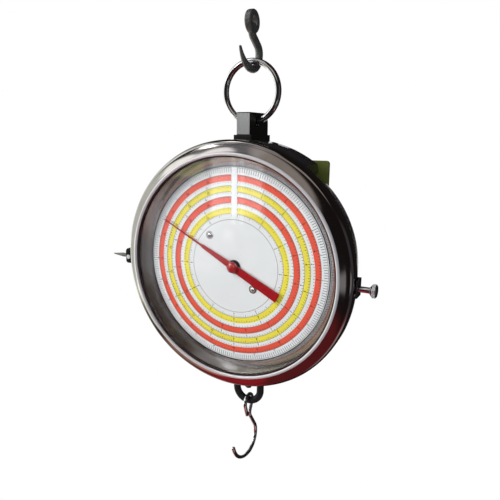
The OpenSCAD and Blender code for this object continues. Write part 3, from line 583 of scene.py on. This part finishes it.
def bars_round(group, count, angle, radius, axis, middle, turn, size):
    """Bars of a size round a middle: an angle of 0 is up, and a quarter turn is along the axis."""
    place = add_node(group, "ShaderNodeCombineXYZ", {
        axis: calc(group, "MULTIPLY", calc(group, "SINE", angle), radius),
        "Z": calc(group, "MULTIPLY", calc(group, "COSINE", angle), radius)})
    shifted = add_node(group, "ShaderNodeVectorMath", {0: place.outputs[0], 1: middle})
    points = add_node(group, "GeometryNodePoints", {"Count": count})
    placed = add_node(group, "GeometryNodeSetPosition", {
        "Geometry": points.outputs[0], "Position": shifted.outputs[0]})
    bar = add_node(group, "GeometryNodeMeshCube", {"Size": (1, 1, 1)})
    return add_node(group, "GeometryNodeInstanceOnPoints", {
        "Points": placed.outputs[0], "Instance": bar.outputs["Mesh"],
        "Rotation": add_node(group, "ShaderNodeCombineXYZ", turn).outputs[0], "Scale": size}).outputs[0]


def finish_group(group, bars, material):
    """Makes the bars real, gives them their material and sends them out of the group."""
    real = add_node(group, "GeometryNodeRealizeInstances", {0: bars})
    painted = add_node(group, "GeometryNodeSetMaterial", {"Geometry": real.outputs[0], "Material": material})
    group.links.new(painted.outputs[0], group.nodes.new("NodeGroupOutput").inputs[0])


def grown(name, group, sockets, rows):
    """A piece that the group makes, run once for each row of values, as a plain mesh."""
    made = bpy.data.objects.new(name, bpy.data.meshes.new(name))
    scene.collection.objects.link(made)
    for row in rows:
        runner = made.modifiers.new(name, "NODES")
        runner.node_group = group
        for socket, value in row.items():
            runner[sockets[socket]] = value
    return settled(made)


dial_ink = mottled("dial_ink", (0.012, 0.011, 0.012), (0.030, 0.028, 0.030), 0.0, (0.40, 0.55), 900, 0.005)
tick_tree = bpy.data.node_groups.new("tick_ring", "GeometryNodeTree")
tick_sockets = group_sockets(tick_tree, {
    "Print": "Geometry", "Divisions": "Int", "Outer radius": "Float", "Length": "Float",
    "Longer fifth": "Float", "Width": "Float", "Thickness": "Float", "Gap half width": "Float",
    "Dial middle": "Vector", "Ink": "Material"})
tick_in = tick_tree.nodes.new("NodeGroupInput").outputs
tick_index = tick_tree.nodes.new("GeometryNodeInputIndex").outputs[0]
gap_angle = calc(tick_tree, "ARCSINE", calc(tick_tree, "DIVIDE", tick_in["Gap half width"],
                                            tick_in["Outer radius"]))
tick_sweep = calc(tick_tree, "SUBTRACT", 2 * math.pi, calc(tick_tree, "MULTIPLY", gap_angle, 2))
tick_angle = calc(tick_tree, "ADD", gap_angle, calc(tick_tree, "MULTIPLY", tick_index, calc(
    tick_tree, "DIVIDE", tick_sweep, tick_in["Divisions"])))
is_fifth = is_zero(tick_tree, calc(tick_tree, "MODULO", tick_index, 5))
tick_length = calc(tick_tree, "ADD", tick_in["Length"],
                   calc(tick_tree, "MULTIPLY", is_fifth, tick_in["Longer fifth"]))
tick_middle = calc(tick_tree, "SUBTRACT", tick_in["Outer radius"],
                   calc(tick_tree, "MULTIPLY", tick_length, 0.5))
tick_size = add_node(tick_tree, "ShaderNodeCombineXYZ", {
    "X": tick_in["Width"], "Y": tick_in["Thickness"], "Z": tick_length}).outputs[0]
tick_count = calc(tick_tree, "ADD", tick_in["Divisions"], 1)
tick_bars = bars_round(tick_tree, tick_count, tick_angle, tick_middle, "X", tick_in["Dial middle"],
                       {"Y": tick_angle}, tick_size)
# the rings printed before come along
tick_join = add_node(tick_tree, "GeometryNodeJoinGeometry", {0: tick_bars})
tick_tree.links.new(tick_in["Print"], tick_join.inputs[0])
finish_group(tick_tree, tick_join.outputs[0], tick_in["Ink"])

print_t, tick_w, gap_clear, ticks_per_figure = 0.06, 0.46, gap_half + 0.4, 10
# divisions, outer radius, length, extra length of each fifth tick, middle radius and height of the figures
graduations = [
    (240, 97.5, 3.9, 0.6, 92.2, 1.5), (200, 91.0, 1.6, 0.8, 87.0, 2.2), (180, 84.8, 1.2, 0.5, 82.0, 1.7),
    (180, 80.35, 1.6, 0.8, 76.6, 2.2), (150, 74.4, 1.2, 0.5, 71.7, 1.7), (150, 69.8, 1.6, 0.8, 65.8, 2.2),
    (120, 63.5, 1.2, 0.5, 60.8, 1.7), (120, 59.0, 1.6, 0.8, 55.2, 2.2), (120, 52.8, 0.9, 1.2, 49.4, 1.8)]
ticks = grown("dial_ticks", tick_tree, tick_sockets, [
    {"Divisions": divisions, "Outer radius": outer_r / 1000, "Length": tick_l / 1000,
     "Longer fifth": fifth_l / 1000, "Width": tick_w / 1000, "Thickness": print_t / 1000,
     "Gap half width": gap_clear / 1000, "Dial middle": spot(0, 0, 0), "Ink": dial_ink}
    for divisions, outer_r, tick_l, fifth_l, *_ in graduations])
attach(ticks, "case")

figure_shapes = {}
for number in range(1, max(row[0] for row in graduations) // ticks_per_figure):
    text = bpy.data.curves.new("figure", "FONT")
    text.body, text.align_x, text.align_y = str(number), "CENTER", "CENTER"
    text.size, text.extrude, text.resolution_u, text.offset = 1.0, 0.012, 1, 0.03
    writer = bpy.data.objects.new("figure", text)
    scene.collection.objects.link(writer)
    figure_shapes[number] = bpy.data.meshes.new_from_object(
        writer.evaluated_get(bpy.context.evaluated_depsgraph_get()))
    bpy.data.objects.remove(writer)
figure_bm = bmesh.new()
text_per_height = 1.4
for divisions, outer_r, _, _, figure_r, figure_h in graduations:
    gap_turn = math.asin(gap_clear / outer_r)
    size = figure_h * text_per_height / 1000
    for number in range(1, divisions // ticks_per_figure):
        a = gap_turn + (2 * math.pi - 2 * gap_turn) * number * ticks_per_figure / divisions
        right, up = Vector((math.cos(a), 0, -math.sin(a))), Vector((math.sin(a), 0, math.cos(a)))
        turn = Matrix((right, up, Vector((0, -1, 0)))).transposed().to_4x4()
        shape = figure_shapes[number].copy()
        shape.transform(Matrix.Translation(spot(*(up * figure_r))) @ turn @ Matrix.Scale(size, 4))
        figure_bm.from_mesh(shape)
        bpy.data.meshes.remove(shape)
piece("dial_figures", figure_bm, dial_ink, "case", [])

# ---------------------------------------------------------------------------------------------------
# Dial screws, bushing, pointer and cap.
# Chromed screws hold the dial. The pointer is stamped sheet in dark red paint, pressed on its shaft
# under a domed cap, and a black bushing closes the hole in the dial.
# ---------------------------------------------------------------------------------------------------
softened("dial_screw_heads", "dial_screws", chrome, "case", 0.15, 2)
black_plastic = mottled("black_plastic", (0.012, 0.012, 0.012), (0.022, 0.022, 0.022), 0.0, (0.3, 0.42), 900,
                        0.01)
dress("dial_bushing", black_plastic)
pointer_red = mottled("pointer_red", (0.31, 0.005, 0.008), (0.40, 0.008, 0.012), 0.0, (0.2, 0.3), 200, 0.01,
                      coat=0.2)
softened("pointer_blade", "pointer", pointer_red, "pointer", 0.12, 2)
cap_red = mottled("cap_red", (0.30, 0.005, 0.008), (0.38, 0.008, 0.012), 0.0, (0.2, 0.3), 200, 0.01, coat=1.0)
cap_r, cap_core_r, cap_back_y, cap_rim_y, dome_h = 5.7, 0.05, -3.9, -5.0, 3.2
cap_bm = bmesh.new()
ring_of(cap_bm, [(cap_core_r, cap_back_y), (cap_r, cap_back_y)]
        + [(max(cap_core_r, cap_r * math.cos(math.radians(a))),
            cap_rim_y - dome_h * math.sin(math.radians(a))) for a in range(0, 91, 9)], (0, 0, 0), "Y", 96)
piece("cap_dome", cap_bm, cap_red, "pointer", ["pointer_cap"], 50)
dress("pointer_shaft", zinc)

# ---------------------------------------------------------------------------------------------------
# Bezel, reflector and gasket.
# The bezel is spun from steel and darkly chromed: a bead round the glass, a groove, a sloping band, a round
# shoulder and a skirt. The bead is a lighter, partly diffuse copy of the chrome, a painted highlight all
# round it.
# Inside, a polished ring slopes down to the edge of the dial, and a maroon rubber gasket seals the glass.
# ---------------------------------------------------------------------------------------------------
bezel_metal = mottled("bezel_chrome", (0.38, 0.36, 0.35), (0.50, 0.47, 0.45), 1.0, (0.06, 0.14), 300, 0.01)
# painted highlight: a lighter, partly diffuse chrome, so the bead and the set screw look bright from every
# side
chrome_with_painted_sheen = mottled("chrome_with_painted_sheen", (0.88, 0.86, 0.87), (0.96, 0.94, 0.95), 0.45, (0.16, 0.26), 300, 0.01)
bezel_r, bezel_wall, bezel_back_y = 124.3, 1.2, 0.8
shoulder_r, shoulder_y, shoulder_bend_r = 119.3, -6.2, 5
shoulder = arc(shoulder_r, shoulder_y, shoulder_bend_r, range(-85, 0, 6))
shoulder_in = arc(shoulder_r, shoulder_y, shoulder_bend_r - bezel_wall, range(0, -86, -6))
# the front of the sloping band, from the bead out, the skirt's edge, and the band's back
slope = [(112.2, -14.2), (113.3, -13.6), (116.4, -12.4)]
skirt = [(bezel_r, bezel_back_y), (bezel_r - bezel_wall, bezel_back_y)]
slope_in = [(119, -9.9), (113, -12.2), (109.8, -14.2), (110.2, -15.2)]
bezel_bm = bmesh.new()
ring_of(bezel_bm, slope + shoulder + skirt + shoulder_in + slope_in, (0, 0, 0), "Y", 256)
piece("bezel_band", bezel_bm, bezel_metal, "bezel", ["bezel_ring"], 30)
bead_r, bead_y, bead_bend_r = 111.2, -15.5, 1.6
bead_bm = bmesh.new()
ring_of(bead_bm, arc(bead_r, bead_y, bead_bend_r, range(0, 360, 15)), (0, 0, 0), "Y", 256)
piece("bezel_bead", bead_bm, chrome_with_painted_sheen, "bezel", [], 80)
reflector_metal = mottled("polished_reflector", (0.27, 0.26, 0.27), (0.37, 0.36, 0.37), 1.0, (0.10, 0.20),
                          200, 0.01)
# inner and outer radius of the cone where it starts at the dial and where it turns into its flat rim
cone_low_r, cone_high_r, cone_rim_r = (99.4, 100.2), (108, 108.5), 115.2
cone_low_y, cone_front_y, cone_back_y = -0.5, -11.2, -10.4
reflector_bm = bmesh.new()
ring_of(reflector_bm, rounded(
    [(cone_low_r[0], cone_low_y), (cone_high_r[0], cone_front_y), (cone_rim_r, cone_front_y),
     (cone_rim_r, cone_back_y), (cone_high_r[1], cone_back_y), (cone_low_r[1], cone_low_y)],
    [0.15, 0.3, 0.15, 0.15, 0.3, 0.15], 3), (0, 0, 0), "Y", 256)
piece("reflector_cone", reflector_bm, reflector_metal, "bezel", ["reflector_ring"], 40)
maroon_rubber = mottled("maroon_rubber", (0.022, 0.008, 0.009), (0.036, 0.013, 0.014), 0.0, (0.4, 0.55), 900,
                        0.02)
gasket_in_r, gasket_out_r, gasket_front_y, gasket_back_y = 108.3, 109.5, -15.2, -13.25
gasket_bm = bmesh.new()
ring_of(gasket_bm, rounded(
    [(gasket_in_r, gasket_front_y), (gasket_out_r, gasket_front_y), (gasket_out_r, gasket_back_y),
     (gasket_in_r, gasket_back_y)], 0.2, 3), (0, 0, 0), "Y", 256)
piece("glass_gasket", gasket_bm, maroon_rubber, "bezel", ["lens_gasket"], 50)

# ---------------------------------------------------------------------------------------------------
# Glass.
# A flat clear pane, 2 mm thick and cut round, with faint smears on it. It is held between the gasket
# and the reflector.
# ---------------------------------------------------------------------------------------------------
glass_material, glass_tree, glass_out = new_material("clear_glass")
glass_place = glass_tree.nodes.new("ShaderNodeTexCoord")
smears = add_node(glass_tree, "ShaderNodeTexNoise", {"Scale": 25, "Vector": glass_place.outputs["Object"]})
smear_rough = add_node(glass_tree, "ShaderNodeMapRange", {
    "From Min": 0.45, "From Max": 0.8, "To Min": 0.0, "To Max": 0.04, "Value": smears.outputs["Fac"]})
glass_shader = add_node(glass_tree, "ShaderNodeBsdfPrincipled", {
    "Base Color": (0.97, 0.99, 0.98, 1), "Transmission Weight": 1, "IOR": 1.5,
    "Roughness": smear_rough.outputs["Result"]})
# the light of the lamps passes to the dial
lamp_way = glass_tree.nodes.new("ShaderNodeBsdfTransparent")
shadow_ray = glass_tree.nodes.new("ShaderNodeLightPath").outputs["Is Shadow Ray"]
mix_to(glass_out, glass_tree, shadow_ray, glass_shader, lamp_way)
dress("lens", glass_material)

# ---------------------------------------------------------------------------------------------------
# Locating pin and thumb screw.
# The tapered pin on the left is bare turned steel, and a small set screw locks it in its lug. The
# knurled screw on the right is turned from steel and chromed.
# ---------------------------------------------------------------------------------------------------
pin_steel = mottled("pin_steel", (0.17, 0.18, 0.15), (0.27, 0.28, 0.24), 0.5, (0.30, 0.42), 700, 0.02)
softened("taper_pin", "locating_pin", pin_steel, "case", 0.2, 2)
# the set screw's head wears the chrome with a painted sheen
softened("set_screw", "pin_set_screw", chrome_with_painted_sheen, "case", 0.2, 2)
screw_y, screw_z = -2, -4.5
shank_r, collar_r, head_r, rim_r, face_r, core_r = 2.8, 3.8, 5.3, 6.0, 5.2, 0.05
shank_x, collar_x, head_x, rim_x, face_x = 124.55, 136.8, 138, (139, 142), 142.8
screw_bm = bmesh.new()
ring_of(screw_bm, rounded(
    [(core_r, shank_x), (shank_r, shank_x), (shank_r, collar_x), (collar_r, collar_x), (collar_r, head_x),
     (head_r, head_x), (rim_r, rim_x[0]), (rim_r, rim_x[1]), (face_r, face_x), (core_r, face_x)],
    [0, 0.3, 0, 0.3, 0, 0.3, 0.3, 0.4, 0.4, 0], 3), (0, screw_y, screw_z), "X", 64)
piece("clamp_screw", screw_bm, chrome, "thumb_screw", ["thumb_screw"], 40)

# fine ribs are cut round the rim of the screw's head
satin_chrome = mottled("satin_chrome", (0.70, 0.71, 0.72), (0.92, 0.92, 0.93), 0.4, (0.30, 0.45), 1400, 0.05)
rib_tree = bpy.data.node_groups.new("knurl", "GeometryNodeTree")
rib_sockets = group_sockets(rib_tree, {
    "Ribs": "Int", "Radius": "Float", "Size": "Vector", "Rim middle": "Vector", "Finish": "Material"})
rib_in = rib_tree.nodes.new("NodeGroupInput").outputs
rib_angle = calc(rib_tree, "MULTIPLY", rib_tree.nodes.new("GeometryNodeInputIndex").outputs[0],
                 calc(rib_tree, "DIVIDE", 2 * math.pi, rib_in["Ribs"]))
rib_bars = bars_round(rib_tree, rib_in["Ribs"], rib_angle, rib_in["Radius"], "Y", rib_in["Rim middle"],
                      {"X": calc(rib_tree, "MULTIPLY", rib_angle, -1)}, rib_in["Size"])
finish_group(rib_tree, rib_bars, rib_in["Finish"])
rib_reach, rib_count, rib_w, rib_inset = 0.3, 40, 0.5, 0.2
knurl = grown("clamp_knurl", rib_tree, rib_sockets, [
    {"Ribs": rib_count, "Radius": rim_r / 1000,
     "Size": Vector((rim_x[1] - rim_x[0] - rib_inset, rib_w, 2 * rib_reach)) / 1000,
     "Rim middle": spot((rim_x[0] + rim_x[1]) / 2, screw_y, screw_z), "Finish": satin_chrome}])
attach(knurl, "thumb_screw")

# ---------------------------------------------------------------------------------------------------
# Load loop, rod and load hook.
# The loop is forged and painted satin black, and hangs on the draw rod with a nut. The load hook is
# bent from 4.3 mm chromed wire.
# ---------------------------------------------------------------------------------------------------
black_iron = mottled("satin_black", (0.010, 0.010, 0.011), (0.022, 0.021, 0.022), 0.0, (0.35, 0.5), 500, 0.05)
loop_r, loop_bar_r, loop_z, loop_top_z = 14.4, 4.0, -149.9, -138.0
loop_left, loop_right = (-loop_r, eye_y, loop_top_z), (loop_r, eye_y, loop_top_z)
loop_bend = [(x, eye_y, z) for x, z in arc(0, loop_z, loop_r, range(-180, 1, 6))]
loop_bm = bmesh.new()
for loop_bar in ([loop_left, *loop_bend, loop_right], [loop_left, loop_right]):
    tube(loop_bm, loop_bar, [loop_bar_r] * len(loop_bar), lean=Vector((0, 1, 0)))
boss_bore_r, boss_r, boss_half = 3, 6.5, 5
ring_of(loop_bm, rounded([(boss_bore_r, -boss_half), (boss_r, -boss_half), (boss_r, boss_half),
                          (boss_bore_r, boss_half)], [0, 0.8, 0.8, 0], 3), (0, eye_y, loop_top_z), "Z", 64)
loop = piece("loop_forging", loop_bm, black_iron, "draw_bar", ["load_loop"], 80)
fused(loop, 0.4, 3)
softened("loop_hex", "loop_nut", black_iron, "draw_bar", 0.25, 2)
dress("draw_rod", zinc)

load_wire_r, load_top_r, load_tail, load_tilt, load_play = 2.15, 8.7, 12.5, 20, 0.3
load_bend_z = loop_z - loop_r + loop_bar_r + load_play + load_wire_r - load_top_r
# from the end of the tail on: millimetres of straight wire, degrees of bend and the radius of the bend
load_steps = [(load_tail, -230, load_top_r), (7.6, 65, 8), (20.6, -125, 18), (0, -71, 40)]
tilt_sine, tilt_cosine = math.sin(math.radians(load_tilt)), math.cos(math.radians(load_tilt))
load_path = bent_path(load_steps, eye_y - load_top_r * tilt_cosine + load_tail * tilt_sine,
                      load_bend_z - load_top_r * tilt_sine - load_tail * tilt_cosine, 90 + load_tilt, 4)
load_bm = bmesh.new()
tube(load_bm, load_path, [load_wire_r] * len(load_path))
piece("load_hook_wire", load_bm, chrome, "load_hook", ["load_hook"], 80)

# ---------------------------------------------------------------------------------------------------
# Movement inside the case.
# A steel chassis carries the brass bushes and pinion and the nylon guide of the brass rack, and two
# steel springs hang from its anchor. Zinc-plated pillars, bolts and screws hold it all together.
# ---------------------------------------------------------------------------------------------------
chassis_steel = mottled("chassis_steel", (0.36, 0.37, 0.38), (0.52, 0.53, 0.54), 1.0, (0.3, 0.45), 300, 0.02)
brass = mottled("machined_brass", (0.58, 0.40, 0.13), (0.74, 0.55, 0.22), 1.0, (0.18, 0.32), 600, 0.02)
nylon = mottled("natural_nylon", (0.72, 0.68, 0.56), (0.82, 0.79, 0.68), 0.0, (0.4, 0.55), 500, 0.02)
spring_steel = mottled("spring_steel", (0.20, 0.20, 0.20), (0.36, 0.36, 0.37), 1.0, (0.25, 0.4), 900, 0.02)
rubber = mottled("black_rubber", (0.02, 0.02, 0.02), (0.04, 0.04, 0.04), 0.0, (0.5, 0.7), 900, 0.02)
for names, finish in (
        (("chassis_plate", "bearing_bridge"), chassis_steel),
        (("chassis_pillars", "spring_anchor", "anchor_screws", "bridge_pillars", "dial_posts", "hanger_bolts",
          "hanger_spacers", "crosshead", "rack_screws", "rod_nut"), zinc),
        (("rack_guide",), nylon), (("rest_stops",), rubber),
        (("rod_guide", "front_bush", "rear_bush", "pinion", "rack"), brass),
        (("left_spring", "right_spring"), spring_steel)):
    for name in names:
        dress(name, finish)
